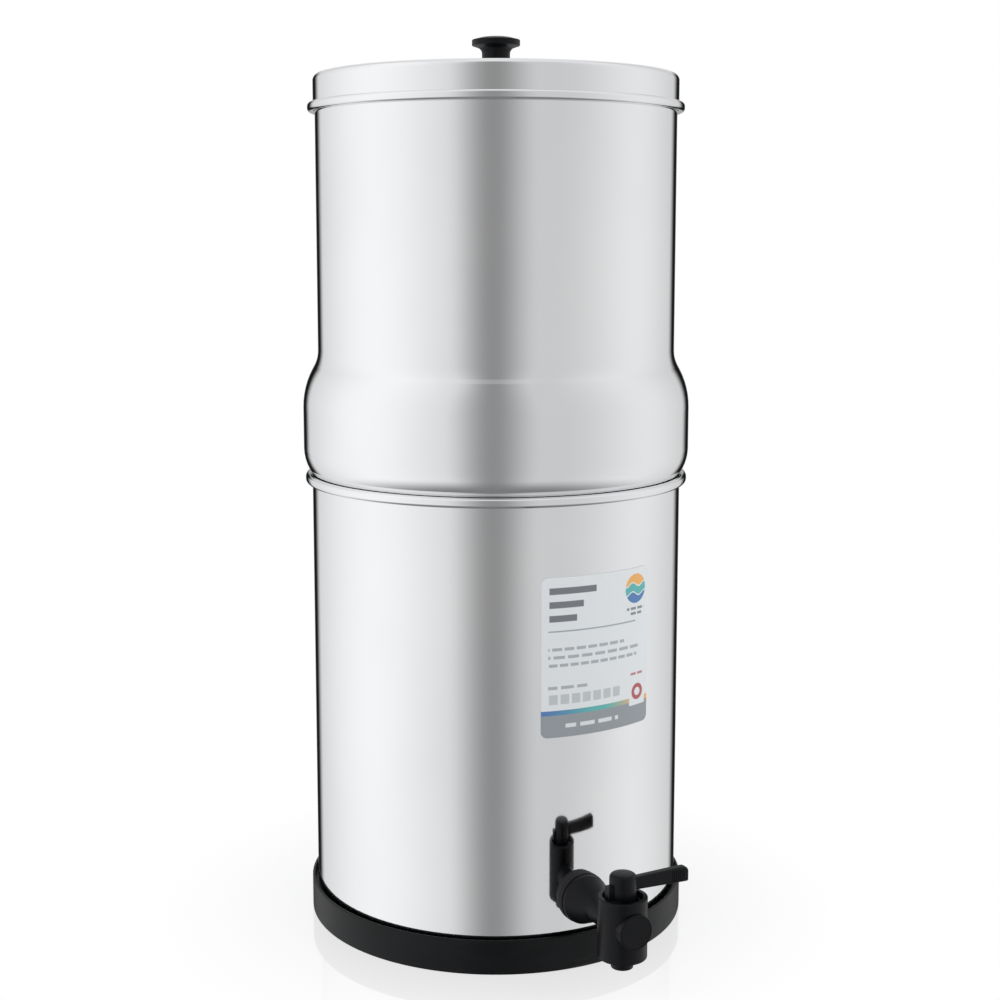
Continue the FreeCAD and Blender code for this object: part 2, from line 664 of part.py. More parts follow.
def front_plate():
    """Plain round plate let into the boss on the tap's front."""
    plate = outward(PLATE_RADIUS, BOSS_FACE - PLATE_THICK, BOSS_FACE, BOSS_HEIGHT)
    middle = PLATE_THICK / 2 - BOSS_FACE
    rim = [edge for edge in plate.Edges if edge.Closed and edge.CenterOfMass.y < middle]
    return plate.makeFillet(0.3, rim)


def valve_plug():
    """Turning plug with a side port, a way down to the nozzle and a flatted stem."""
    body = cylinder(PLUG_RADIUS, PLUG_FLOOR + FIT_GAP, PLUG_TOP)
    stem = cylinder(STEM_NECK_RADIUS, PLUG_TOP - 1, STEM_TOP)
    flat = Part.makeBox(20, 20, STEM_TOP, Vector(-10, STEM_FLAT, CAP_BOTTOM))
    plug = body.fuse(stem.cut(flat)).removeSplitter()
    plug = plug.cut(cylinder(PLUG_PORT, PLUG_FLOOR - 1, TAP_BARREL_HEIGHT + PLUG_PORT * 0.5))
    port = Part.makeCylinder(PLUG_PORT, 20, UP * TAP_BARREL_HEIGHT, Vector(-1, 0, 0))
    plug = plug.cut(port)
    for height in ORING_HEIGHTS:
        half = ORING_SECTION + FIT_GAP
        depth = 2 * ORING_SECTION + FIT_GAP
        plug = plug.cut(tube(PLUG_RADIUS + 1, PLUG_RADIUS - depth, height - half, height + half))
    return placed(plug, 0, -TAP_AXIS)


def plug_seals():
    return [ring(PLUG_RADIUS - ORING_SECTION, ORING_SECTION, z, (0, -TAP_AXIS)) for z in ORING_HEIGHTS]


def bonnet_ring():
    """Ring pressed into the body over the plug's shoulder."""
    return tube(BONNET_RADIUS, STEM_NECK_RADIUS + SEAT_GAP, BONNET_BOTTOM, BONNET_TOP, (0, -TAP_AXIS))


def tap_handle():
    """Round cap with a flat lever to the side and a stop lug opposite it."""
    cap = turned([
        (0, CAP_BOTTOM, 0),
        (CAP_RADIUS, CAP_BOTTOM, 0.4),
        (CAP_RADIUS, CAP_TOP - CAP_CROWN, CAP_ROUND),
        (CAP_RADIUS * CAP_CROWN_SHARE, CAP_TOP, CAP_CROWN_ROUND),
        (0, CAP_TOP, 0),
    ])
    root = CAP_RADIUS * LEVER_ROOT_SHARE
    low_root = LEVER_CENTRE - LEVER_ROOT_HEIGHT / 2
    low_tip = LEVER_CENTRE - LEVER_TIP_HEIGHT / 2
    side = outline_wire([
        (root, low_root, 0),
        (LEVER_REACH, low_tip, 1.0),
        (LEVER_REACH, low_tip + LEVER_TIP_HEIGHT, 3.0),
        (LEVER_REACH - LEVER_TIP_LENGTH, low_tip + LEVER_TIP_HEIGHT, 6.0),
        (root, low_root + LEVER_ROOT_HEIGHT, 0),
    ])
    lever = Part.Face(side).extrude(Vector(0, LEVER_THICK, 0))
    lever.translate(Vector(0, -LEVER_THICK / 2, 0))
    tips = [e for e in lever.Edges if is_along(e, UP) and e.CenterOfMass.x > LEVER_REACH - 1]
    lever = lever.makeFillet(LEVER_ROUND, tips)
    lug = Part.makeBox(LUG_REACH, LUG_WIDTH, LUG_TOP - CAP_BOTTOM,
                       Vector(-LUG_REACH, -LUG_WIDTH / 2, CAP_BOTTOM))
    handle = cap.fuse(lever).fuse(lug).removeSplitter()
    socket = cylinder(STEM_NECK_RADIUS + FIT_GAP, CAP_BOTTOM - 1, STEM_TOP + FIT_GAP)
    flat = Part.makeBox(20, 20, STEM_TOP, Vector(-10, STEM_FLAT + FIT_GAP, CAP_BOTTOM - 1))
    return placed(handle.cut(socket.cut(flat)), 0, -TAP_AXIS)


def at_places(shape, places):
    return [placed(shape, x, y, turn) for x, y, turn in places]


def all_nodes():
    nodes = {
        "lower_chamber": lower_chamber(),
        "base_ring": base_ring(),
        "label": label(),
        "upper_chamber": upper_chamber(),
        "lid_shell": lid_shell(),
        "lid_knob": lid_knob(),
        "knob_washer": knob_washer(),
        "knob_screw": knob_screw(),
        "tap_body": tap_body(),
        "tap_outer_washer": outer_washer(),
        "tap_inner_washer": inner_washer(),
        "tap_back_nut": back_nut(),
        "tap_front_plate": front_plate(),
        "tap_bonnet_ring": bonnet_ring(),
        "tap_valve_plug": valve_plug(),
        "tap_plug_seals": Part.makeCompound(plug_seals()),
        "tap_handle": tap_handle(),
        "candle_washers": Part.makeCompound(at_places(stem_washer(), CANDLE_PLACES)),
        "candle_wing_nuts": Part.makeCompound(at_places(wing_nut(), CANDLE_PLACES)),
        "blanking_plugs": Part.makeCompound(at_places(blanking_plug(), PLUG_PLACES)),
        "blanking_washers": Part.makeCompound(at_places(stem_washer(), PLUG_PLACES)),
        "blanking_nuts": Part.makeCompound(at_places(plug_nut(), PLUG_PLACES)),
    }
    for i, place in enumerate(CANDLE_PLACES, 1):
        nodes[f"candle_{i}_ceramic"] = at_places(candle_shell(), [place])[0]
        nodes[f"candle_{i}_mount"] = at_places(candle_mount(), [place])[0]
    return nodes


os.makedirs("parts", exist_ok=True)
for name, shape in all_nodes().items():
    shape.exportStep(f"parts/{name}.step")
    state = "valid" if shape.isValid() else "NOT VALID"
    print(name, len(shape.Solids), "solids", round(shape.Volume), "mm3", state)
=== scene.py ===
"""Looks of a two-chamber gravity water filter: polished steel, black rubber and plastic, ceramic, label.

Everything is in metres in the filter's own frame: origin under the base ring's centre, +Z up, the
tap along -Y. The camera stands a little to the left of the tap.
"""
import math

import bmesh
import bpy
from mathutils import Matrix, Vector


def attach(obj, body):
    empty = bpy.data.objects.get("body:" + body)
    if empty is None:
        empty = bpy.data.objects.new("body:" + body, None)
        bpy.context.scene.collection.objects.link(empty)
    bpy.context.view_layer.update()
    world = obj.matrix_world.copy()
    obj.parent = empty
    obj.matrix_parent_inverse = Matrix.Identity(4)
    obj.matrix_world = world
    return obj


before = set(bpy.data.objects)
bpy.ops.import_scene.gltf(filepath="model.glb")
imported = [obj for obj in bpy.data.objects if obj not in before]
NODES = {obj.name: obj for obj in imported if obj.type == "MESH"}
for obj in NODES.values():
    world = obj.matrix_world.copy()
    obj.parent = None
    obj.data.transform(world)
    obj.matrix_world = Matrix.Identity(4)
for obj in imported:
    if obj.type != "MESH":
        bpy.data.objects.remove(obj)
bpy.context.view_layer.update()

MM = 0.001

# The filter's sizes that the dressing needs
LOWER_RADIUS = 107.5 * MM
LABEL_TURN = math.radians(6.1)          # of the label's middle from the tap, towards +X
LABEL_BOTTOM = 131.5 * MM
TAP_AXIS = 152 * MM
BARREL_HEIGHT = 39.4 * MM
BOSS_HEIGHT = 41.0 * MM
TAIL_END = 90.5 * MM                    # of the tap's threaded tail, from the chamber's axis
TAIL_NUT = 97.0 * MM                    # inner side of its back nut
TAIL_RADIUS = 8 * MM
LEVER_HEIGHT = 62.3 * MM
LEVER_SIDE = 2.6 * MM                   # half the lever's thickness
RIB_START = 29.5 * MM                   # of the first rib, from the tap's upright axis
RIB_COUNT = 7
RIB_STEP = 1.15 * MM
RIB_RADIUS = 0.38 * MM
RIB_LENGTH = 5.6 * MM
TAIL_PITCH = 1.5 * MM                   # from one thread to the next
STEM_PITCH = 1.75 * MM
BOSS_RINGS = (6.6 * MM, 2.4 * MM)       # radii of the plain rings on the tap's front plate
CANDLE_PITCH = 52 * MM                  # of each candle from the chamber's axis
STEM_RADIUS = 5.5 * MM
STEM_END = 222.9 * MM
STEM_NUT = 244.9 * MM

# Rolled edges: radius and two heights of the roll's centre, and the roll's own radius
LOWER_ROLL = (109.1 * MM, 260.0 * MM, 261.0 * MM, 2.3 * MM)
LID_ROLL = (105.65 * MM, 471.13 * MM, 472.33 * MM, 1.95 * MM)
ROLL_SKIN = 0.03 * MM                   # by which the fine roll stands outside the solid's
ROLL_STEPS = 32                         # points round the roll's own section
ROLL_TURNS = 360                        # sections round the filter

# The camera's place, from the ellipses of the filter's rims
CAMERA_TURN = math.radians(-26.0)       # to the left of the tap, seen from above
CAMERA_DISTANCE = 978 * MM
CAMERA_HEIGHT = 402 * MM
CAMERA_PITCH = math.radians(7.81)
LENS_MM = 60.3
SHIFT_UP = 0.0385
AXIS_COLUMN = 496                       # pixel column of the filter's axis
IMAGE_SIZE = 1000
SENSOR_WIDTH = 36

# Levels of light that the steel sees around it, 1 being white
ROOM_LEVEL = 0.67
LEFT_BOX_LEVEL = 0.38                   # added by the left soft box
RIGHT_BOX_LEVEL = 0.22                  # added by the right soft box
GAP_DEPTH = 0.55                        # share taken away between the boxes
FLAG_LEVEL = 0.010
BETWEEN_FLAGS_LEVEL = 0.42              # added at the very back, between the flags
BACK_WALL_LEVEL = 0.85                  # above the flags
CEILING_LEVEL = 0.85
GROUND_LEVEL = 0.22

# Lamps and floor
LAMP_AIM = 0.25                         # height that the lamps point at
LAMP_DISTANCE = 1.6
LAMP_SIZE = (0.8, 1.6)
FLOOR_RADIUS = 6.0
NEAR_START = 0.110                      # where the shadow and the mirror image are full
NEAR_END = 0.22                         # where they have faded away
SHADOW_SHARE = 0.15
MIRROR_SHARE = 0.16


class Socket:
    """An output of a shader's node, with arithmetic that adds Math nodes."""

    def __init__(self, shader, socket):
        self.shader = shader
        self.socket = socket

    def __add__(self, other):
        return self.shader.math("ADD", self, other)

    def __radd__(self, other):
        return self.shader.math("ADD", other, self)

    def __sub__(self, other):
        return self.shader.math("SUBTRACT", self, other)

    def __rsub__(self, other):
        return self.shader.math("SUBTRACT", other, self)

    def __mul__(self, other):
        return self.shader.math("MULTIPLY", self, other)

    def __rmul__(self, other):
        return self.shader.math("MULTIPLY", other, self)


class Shader:
    """Builds the node tree of a material or of the world."""

    def __init__(self, owner):
        owner.use_nodes = True
        self.tree = owner.node_tree
        self.tree.nodes.clear()

    def add(self, kind, settings=None, inputs=None, output=0):
        """Adds a node, sets it up, feeds its sockets by name or number, and returns one output."""
        node = self.tree.nodes.new(kind)
        for name, value in (settings or {}).items():
            setattr(node, name, value)
        for key, value in (inputs or {}).items():
            socket = node.inputs[key]
            if isinstance(value, Socket):
                self.tree.links.new(value.socket, socket)
            elif socket.type == "RGBA":
                socket.default_value = (*value, 1)
            else:
                socket.default_value = value
        return Socket(self, node.outputs[output])

    def math(self, operation, *values):
        return self.add("ShaderNodeMath", {"operation": operation}, dict(enumerate(values)))

    def split(self, vector):
        """The three numbers of a vector."""
        node = self.add("ShaderNodeSeparateXYZ", None, {0: vector}).socket.node
        return [Socket(self, output) for output in node.outputs]

    def place(self):
        return self.add("ShaderNodeTexCoord", output="Object")

    def scaled(self, vector, x, y, z):
        """The vector with each direction scaled."""
        return self.add("ShaderNodeVectorMath", {"operation": "MULTIPLY"}, {0: vector, 1: (x, y, z)})

    def smooth(self, value, low, high, start=0.0, stop=1.0):
        """Smooth step from start to stop while value goes from low to high."""
        inputs = {"Value": value, "From Min": low, "From Max": high, "To Min": start, "To Max": stop}
        return self.add("ShaderNodeMapRange", {"interpolation_type": "SMOOTHSTEP"}, inputs)

    def band(self, value, centre, half, blur):
        """1 within half of the centre, falling to 0 over blur."""
        away = self.math("ABSOLUTE", value - centre)
        return self.smooth(away, half - blur / 2, half + blur / 2, 1, 0)

    def mix(self, factor, low, high):
        """Mix of two colours."""
        return self.add("ShaderNodeMix", {"data_type": "RGBA"}, {0: factor, 6: low, 7: high}, 2)

    def noise(self, vector, scale, detail=2.0, roughness=0.5):
        inputs = {"Vector": vector, "Scale": scale, "Detail": detail, "Roughness": roughness}
        return self.add("ShaderNodeTexNoise", None, inputs)

    def bump(self, height, strength, distance, under=None):
        inputs = {"Height": height, "Strength": strength, "Distance": distance}
        if under is not None:
            inputs["Normal"] = under
        return self.add("ShaderNodeBump", None, inputs)

    def turned_normal(self, x, y):
        """Normal of a shape turned about Z, without the sideways lean that flat facets bring in."""
        nx, ny, nz = self.split(self.add("ShaderNodeNewGeometry", output="Normal"))
        radius = self.math("SQRT", x * x + y * y)
        across = self.math("DIVIDE", x, radius)
        along = self.math("DIVIDE", y, radius)
        outward = nx * across + ny * along
        return self.add("ShaderNodeCombineXYZ", None, {0: outward * across, 1: outward * along, 2: nz})

    def surface(self, inputs):
        """Principled surface as the material's own."""
        self.end("ShaderNodeOutputMaterial", self.add("ShaderNodeBsdfPrincipled", None, inputs))

    def end(self, kind, shader):
        node = self.tree.nodes.new(kind)
        self.tree.links.new(shader.socket, node.inputs["Surface"])


def new_material(name):
    made = bpy.data.materials.new(name)
    return made, Shader(made)


# Steel

def polished_sheet(name, has_seam):
    """Bright stainless sheet: a near mirror with fine lines polished round the body."""
    made, s = new_material(name)
    where = s.place()
    x, y, z = s.split(where)
    lines = s.noise(s.scaled(where, 5, 5, 1300), 1.0, 3.0)
    long_lines = s.noise(s.scaled(where, 3, 3, 260), 1.0, 2.0)
    cloud = s.noise(where, 9.0, 3.0)
    smears = s.smooth(s.noise(s.scaled(where, 26, 26, 9), 1.0, 4.0, 0.6), 0.52, 0.8)
    rough = 0.04 + lines * 0.025 + long_lines * 0.015 + smears * 0.05
    tone = s.smooth(cloud, 0.35, 0.65)
    colour = s.mix(tone, (0.850, 0.855, 0.862), (0.880, 0.880, 0.880))
    sway = s.bump(s.noise(s.scaled(where, 1, 1, 0.6), 12.0, 1.0), 0.02, 0.004, s.turned_normal(x, y))
    normal = s.bump(lines, 0.04, 0.00005, sway)
    if has_seam:
        across = s.math("ABSOLUTE", x)
        behind = s.smooth(y, 0.0, 0.02)
        weld = s.smooth(across, 0.0004, 0.0011, 1, 0) * behind
        heat = s.smooth(across, 0.0008, 0.005, 1, 0) * behind
        ripple = s.math("SINE", z * 2600.0)
        rough = rough + weld * 0.22 + heat * 0.03
        colour = s.mix(heat * 0.35, colour, (0.70, 0.66, 0.58))
        normal = s.bump(weld * (1.0 + ripple * 0.25), 0.35, 0.0002, normal)
    s.surface({"Base Color": colour, "Metallic": 1.0, "Roughness": rough, "Normal": normal})
    return made


def turned_hardware():
    """Zinc-bright nuts and screw with tool marks."""
    made, s = new_material("turned_hardware")
    where = s.place()
    marks = s.noise(s.scaled(where, 250, 250, 2600), 1.0, 2.0)
    spots = s.noise(where, 160.0, 4.0)
    colour = s.mix(s.smooth(spots, 0.4, 0.7), (0.62, 0.63, 0.65), (0.76, 0.76, 0.76))
    s.surface({"Base Color": colour, "Metallic": 1.0, "Roughness": 0.2 + marks * 0.16,
               "Normal": s.bump(marks, 0.2, 0.0001)})
    return made


# Black and white mouldings, rubber and ceramic

def foot_rubber():
    """Black moulded rubber with a faint bloom, and scuffs near the floor."""
    made, s = new_material("foot_rubber")
    where = s.place()
    x, y, z = s.split(where)
    grain = s.noise(where, 1700.0, 2.0)
    bloom = s.noise(s.scaled(where, 1, 1, 2.5), 38.0, 5.0, 0.65)
    low_down = s.smooth(z, 0.009, 0.0, 0, 1)
    scuffs = s.smooth(s.noise(s.scaled(where, 30, 30, 500), 1.0, 3.0), 0.56, 0.72) * low_down
    dark = s.mix(s.smooth(bloom, 0.35, 0.8), (0.0020, 0.0025, 0.0031), (0.0060, 0.0068, 0.0080))
    colour = s.mix(scuffs * 0.5, dark, (0.045, 0.045, 0.045))
    s.surface({"Base Color": colour, "Roughness": 0.34 + bloom * 0.16 + scuffs * 0.2,
               "Specular IOR Level": 0.20, "Normal": s.bump(grain, 0.16, 0.00006)})
    return made


def seal_rubber():
    """Soft black washers and seals."""
    made, s = new_material("seal_rubber")
    where = s.place()
    grain = s.noise(where, 1400.0, 3.0)
    s.surface({"Base Color": s.mix(grain, (0.005, 0.005, 0.0055), (0.013, 0.013, 0.014)),
               "Roughness": 0.5 + grain * 0.15, "Specular IOR Level": 0.35,
               "Normal": s.bump(grain, 0.25, 0.0001)})
    return made


def black_nylon(name, ring_on_boss=False):
    """Black moulding with a fine grain and slightly rubbed high spots."""
    made, s = new_material(name)
    where = s.place()
    x, y, z = s.split(where)
    grain = s.noise(where, 2400.0, 2.0)
    cloud = s.noise(where, 62.0, 4.0)
    colour = s.mix(cloud, (0.0018, 0.0020, 0.0026), (0.0050, 0.0054, 0.0070))
    normal = s.bump(grain, 0.16, 0.00005)
    if ring_on_boss:
        up = z - BOSS_HEIGHT
        radius = s.math("SQRT", x * x + up * up)
        outer, inner = BOSS_RINGS
        rings = s.band(radius, outer, 0.00025, 0.0002) + s.band(radius, inner, 0.00025, 0.0002)
        normal = s.bump(rings, -0.7, 0.0003, normal)
    s.surface({"Base Color": colour, "Roughness": 0.30 + cloud * 0.14,
               "Specular IOR Level": 0.17, "Normal": normal})
    return made


def white_nylon():
    """White moulding of the candle mounts, stoppers and wing nuts."""
    made, s = new_material("white_nylon")
    where = s.place()
    grain = s.noise(where, 1200.0, 2.0)
    cloud = s.noise(where, 40.0, 3.0)
    s.surface({"Base Color": s.mix(cloud, (0.76, 0.76, 0.74), (0.84, 0.84, 0.82)),
               "Roughness": 0.36 + cloud * 0.12, "Normal": s.bump(grain, 0.15, 0.00008)})
    return made


def porous_ceramic():
    """Fired ceramic with fine pores and a faint cream mottling."""
    made, s = new_material("porous_ceramic")
    where = s.place()
    pores = s.noise(where, 850.0, 4.0, 0.7)
    mottle = s.noise(where, 28.0, 4.0)
    colour = s.mix(s.smooth(mottle, 0.3, 0.7), (0.80, 0.775, 0.70), (0.87, 0.855, 0.81))
    colour = s.mix(s.smooth(pores, 0.62, 0.75, 0, 0.35), colour, (0.52, 0.49, 0.42))
    s.surface({"Base Color": colour, "Roughness": 0.8 + pores * 0.15,
               "Specular IOR Level": 0.3, "Normal": s.bump(pores, 0.5, 0.0003)})
    return made


# Label

INK = (0.085, 0.095, 0.110)
SMALL_INK = (0.26, 0.28, 0.31)
CARD = (0.760, 0.790, 0.805)
FOOTER = (0.300, 0.325, 0.350)
BLUE = (0.020, 0.150, 0.420)
TEAL = (0.050, 0.420, 0.400)
AMBER = (0.850, 0.400, 0.060)
RED = (0.420, 0.040, 0.050)


def label_card():
    """White film with blank bars for text, a wave badge, tick boxes and a coloured footer line."""
    made, s = new_material("label_card")
    where = s.place()
    x, y, z = s.split(where)
    around = s.math("ARCTAN2", x, 0 - y) - LABEL_TURN
    u = around * (LOWER_RADIUS / MM)            # millimetres from the label's middle line
    v = (z - LABEL_BOTTOM) * (1 / MM)           # millimetres above its lower edge

    def bar(middle_u, middle_v, width, height):
        return s.band(u, middle_u, width / 2, 0.3) * s.band(v, middle_v, height / 2, 0.3)

    def words(left, right, middle_v, height, word, shift):
        """A line of text greeked as short bars with gaps."""
        gaps = s.smooth(s.math("FRACT", u * (1 / word) + shift), 0.76, 0.82, 1, 0)
        return bar((left + right) / 2, middle_v, right - left, height) * gaps

    def disc(middle_u, middle_v, radius):
        du = u - middle_u
        dv = v - middle_v
        away = s.math("SQRT", du * du + dv * dv)
        return s.smooth(away, radius - 0.15, radius + 0.15, 1, 0), du, dv

    colour = CARD
    for middle, width, row in ((-17.5, 28, 80.5), (-21.5, 20, 73.0), (-23.5, 16, 65.5)):
        colour = s.mix(bar(middle, row, width, 3.6) * 0.85, colour, INK)
    colour = s.mix(bar(-3.5, 58.5, 57, 0.8) * 0.8, colour, SMALL_INK)
    for right, row, word, shift in ((16, 48.6, 7.1, 0.2), (28, 44.2, 8.3, 0.5), (26, 39.8, 6.2, 0.1)):
        colour = s.mix(words(-32, right, row, 1.7, word, shift) * 0.7, colour, SMALL_INK)
    colour = s.mix(words(-32, -9, 27.5, 1.7, 9.5, 0.6) * 0.7, colour, SMALL_INK)

    box_step = s.math("FRACT", (u + 32.0) * (1 / 6.6))
    boxes = s.band(box_step, 0.45, 0.38, 0.05) * bar(-8.9, 21.0, 46.2, 5.4)
    colour = s.mix(boxes * 0.5, colour, FOOTER)

    badge, du, dv = disc(25.0, 76.5, 8.2)
    wave = dv + s.math("SINE", du * 0.62) * 1.1
    shades = s.mix(s.smooth(wave, 2.1, 2.5), TEAL, AMBER)
    shades = s.mix(s.smooth(wave, -3.0, -2.6), BLUE, shades)
    foam = s.band(wave, 2.3, 0.35, 0.2) + s.band(wave, -2.8, 0.35, 0.2)
    shades = s.mix(foam, shades, CARD)
    colour = s.mix(badge * 0.9, colour, shades)
    for row, width in ((65.4, 14), (62.6, 10)):
        colour = s.mix(words(25 - width / 2, 25 + width / 2, row, 1.5, 5.4, 0.1) * 0.75, colour, INK)

    along = s.smooth(u, -36, 0)
    stripe = s.mix(s.smooth(u, 0, 34), s.mix(along, BLUE, TEAL), AMBER)
    colour = s.mix(s.smooth(v, 14.8, 15.1, 1, 0) * 0.9, colour, stripe)
    colour = s.mix(s.smooth(v, 12.2, 12.5, 1, 0), colour, FOOTER)
    colour = s.mix(words(-22, 12, 6.2, 2.2, 11.5, 0.15) * 0.9, colour, CARD)

    tile = bar(27.0, 21.5, 13, 22)
    colour = s.mix(tile, colour, CARD)
    ring = disc(27.0, 18.0, 4.6)[0]
    middle = disc(27.0, 18.0, 2.3)[0]
    colour = s.mix(ring * 0.9, colour, RED)
    colour = s.mix(middle, colour, CARD)
    colour = s.mix(words(21.5, 32.5, 28.4, 1.4, 5.5, 0.1) * 0.75, colour, RED)

    fibre = s.noise(where, 1500.0, 3.0)
    wear = s.noise(where, 60.0, 3.0)
    s.surface({"Base Color": colour, "Roughness": 0.30 + wear * 0.15, "Specular IOR Level": 0.4,
               "Normal": s.bump(fibre, 0.06, 0.00004)})
    return made


# Ribs and threads

class Grower:
    """Builds one geometry node tree with named sizes."""

    def __init__(self, name, sizes, finish):
        self.tree = bpy.data.node_groups.new(name, "GeometryNodeTree")
        self.tree.interface.new_socket("Geometry", in_out="OUTPUT", socket_type="NodeSocketGeometry")
        self.sizes = sizes
        self.finish = finish
        for label in sizes:
            kind = "NodeSocketInt" if isinstance(sizes[label], int) else "NodeSocketFloat"
            self.tree.interface.new_socket(label, in_out="INPUT", socket_type=kind)
        self.given = self.tree.nodes.new("NodeGroupInput")

    def size(self, label):
        return self.given.outputs[label]

    def add(self, kind, inputs, settings=None):
        node = self.tree.nodes.new(kind)
        for name, value in (settings or {}).items():
            setattr(node, name, value)
        for key, value in inputs.items():
            if isinstance(value, bpy.types.NodeSocket):
                self.tree.links.new(value, node.inputs[key])
            else:
                node.inputs[key].default_value = value
        return node.outputs[0]

    def vector(self, x=0.0, y=0.0, z=0.0):
        return self.add("ShaderNodeCombineXYZ", {0: x, 1: y, 2: z})

    def grow(self, geometry):
        """Mesh of the finished geometry, with the finish set."""
        solid = self.add("GeometryNodeRealizeInstances", {0: geometry})
        dressed = self.add("GeometryNodeSetMaterial", {"Geometry": solid, "Material": self.finish})
        out = self.tree.nodes.new("NodeGroupOutput")
        self.tree.links.new(dressed, out.inputs[0])
        holder = bpy.data.objects.new("grower", bpy.data.meshes.new("empty"))
        bpy.context.collection.objects.link(holder)
        modifier = holder.modifiers.new("grow", "NODES")
        modifier.node_group = self.tree
        for item in self.tree.interface.items_tree:
            if item.in_out == "INPUT":
                modifier[item.identifier] = self.sizes[item.name]
        ready = holder.evaluated_get(bpy.context.evaluated_depsgraph_get())
        mesh = bpy.data.meshes.new_from_object(ready)
        bpy.data.objects.remove(holder)
        return mesh


def lever_ribs(finish):
    """Mesh of a row of fine upright ribs for one side of the lever's tip."""
    sizes = {"Count": RIB_COUNT, "Step": RIB_STEP, "Radius": RIB_RADIUS, "Length": RIB_LENGTH}
    g = Grower("lever_ribs", sizes, finish)
    row = g.add("GeometryNodeMeshLine", {"Count": g.size("Count"), "Offset": g.vector(x=g.size("Step"))})
    rib = g.add("GeometryNodeMeshCylinder",
                {"Vertices": 12, "Radius": g.size("Radius"), "Depth": g.size("Length")})
    return g.grow(g.add("GeometryNodeInstanceOnPoints", {"Points": row, "Instance": rib}))


def thread_ridge(radius, length, pitch, finish):
    """Mesh of a helical ridge about Z, from 0 up to length."""
    sizes = {"Turns": length / pitch, "Radius": radius, "Length": length, "Ridge": pitch * 0.32}
    g = Grower("thread_ridge", sizes, finish)
    spiral = g.add("GeometryNodeCurveSpiral", {
        "Resolution": 40, "Rotations": g.size("Turns"), "Start Radius": g.size("Radius"),
        "End Radius": g.size("Radius"), "Height": g.size("Length")})
    profile = g.add("GeometryNodeCurvePrimitiveCircle", {"Resolution": 4, "Radius": g.size("Ridge")})
    sweep = {"Curve": spiral, "Profile Curve": profile, "Fill Caps": True}
    return g.grow(g.add("GeometryNodeCurveToMesh", sweep))


def fine_roll(centre, low, high, radius, finish):
    """Mesh of a rolled edge about Z, fine enough for its mirror images to run smoothly."""
    radius = radius + ROLL_SKIN
    profile = []
    for step in range(ROLL_STEPS):
        angle = 2 * math.pi * (step + 0.5) / ROLL_STEPS
        height = high if math.sin(angle) > 0 else low
        profile.append((centre + radius * math.cos(angle), height + radius * math.sin(angle)))
    shape = bmesh.new()
    rings = []
    for turn in range(ROLL_TURNS):
        way = 2 * math.pi * turn / ROLL_TURNS
        rings.append([shape.verts.new((out * math.cos(way), out * math.sin(way), z)) for out, z in profile])
    for turn in range(ROLL_TURNS):
        here = rings[turn - 1]
        there = rings[turn]
        for step in range(ROLL_STEPS):
            face = shape.faces.new((here[step - 1], there[step - 1], there[step], here[step]))
            face.smooth = True
    mesh = bpy.data.meshes.new("fine_roll")
    shape.to_mesh(mesh)
    shape.free()
    mesh.materials.append(finish)
    return mesh


def join(name, meshes_and_places, body):
    """Adds one piece, made of several placed meshes, that rides on a body."""
    shape = bmesh.new()
    for mesh, move in meshes_and_places:
        placed = mesh.copy()
        placed.transform(move)
        shape.from_mesh(placed)
    bmesh.ops.recalc_face_normals(shape, faces=shape.faces)
    made = bpy.data.meshes.new(name)
    shape.to_mesh(made)
    shape.free()
    for finish in meshes_and_places[0][0].materials:
        made.materials.append(finish)
    piece = bpy.data.objects.new(name, made)
    bpy.context.collection.objects.link(piece)
    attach(piece, body)


# The studio

def studio_world():
    """White to the camera; to everything else two tall soft boxes, a gap between them and dark flags."""
    world = bpy.data.worlds.new("studio")
    bpy.context.scene.world = world
    s = Shader(world)
    x, y, z = s.split(s.add("ShaderNodeTexCoord", output="Generated"))
    right = x * math.cos(CAMERA_TURN) + y * math.sin(CAMERA_TURN)
    front = x * math.sin(CAMERA_TURN) - y * math.cos(CAMERA_TURN)
    turn = s.math("ARCTAN2", right, front) * (180 / math.pi)
    left_box = s.band(turn, -82, 45, 90) * LEFT_BOX_LEVEL
    right_box = s.band(turn, 97, 30, 60) * RIGHT_BOX_LEVEL
    gap = s.band(turn, -2, 15, 29) * GAP_DEPTH
    sideways = s.math("ABSOLUTE", turn)
    flags = s.smooth(sideways, 143, 156)
    between_flags = s.smooth(sideways, 164, 173) * BETWEEN_FLAGS_LEVEL
    boxes = (ROOM_LEVEL + left_box + right_box) * (1 - gap)
    level = boxes * (1 - flags) + flags * FLAG_LEVEL + between_flags
    back_wall = flags * s.smooth(z, 0.16, 0.32)
    level = level * (1 - back_wall) + back_wall * BACK_WALL_LEVEL
    ceiling = s.smooth(z, 0.72, 0.95)
    ground = s.smooth(z, -0.9, -0.5, 1, 0)
    level = level * (1 - ceiling - ground) + ceiling * CEILING_LEVEL + ground * GROUND_LEVEL
    camera = s.add("ShaderNodeLightPath", output="Is Camera Ray")
    colour = s.mix(camera, (0.985, 0.99, 1.0), (1, 1, 1))
    strength = camera + (1 - camera) * level
    backdrop = s.add("ShaderNodeBackground", None, {"Color": colour, "Strength": strength})
    s.end("ShaderNodeOutputWorld", backdrop)


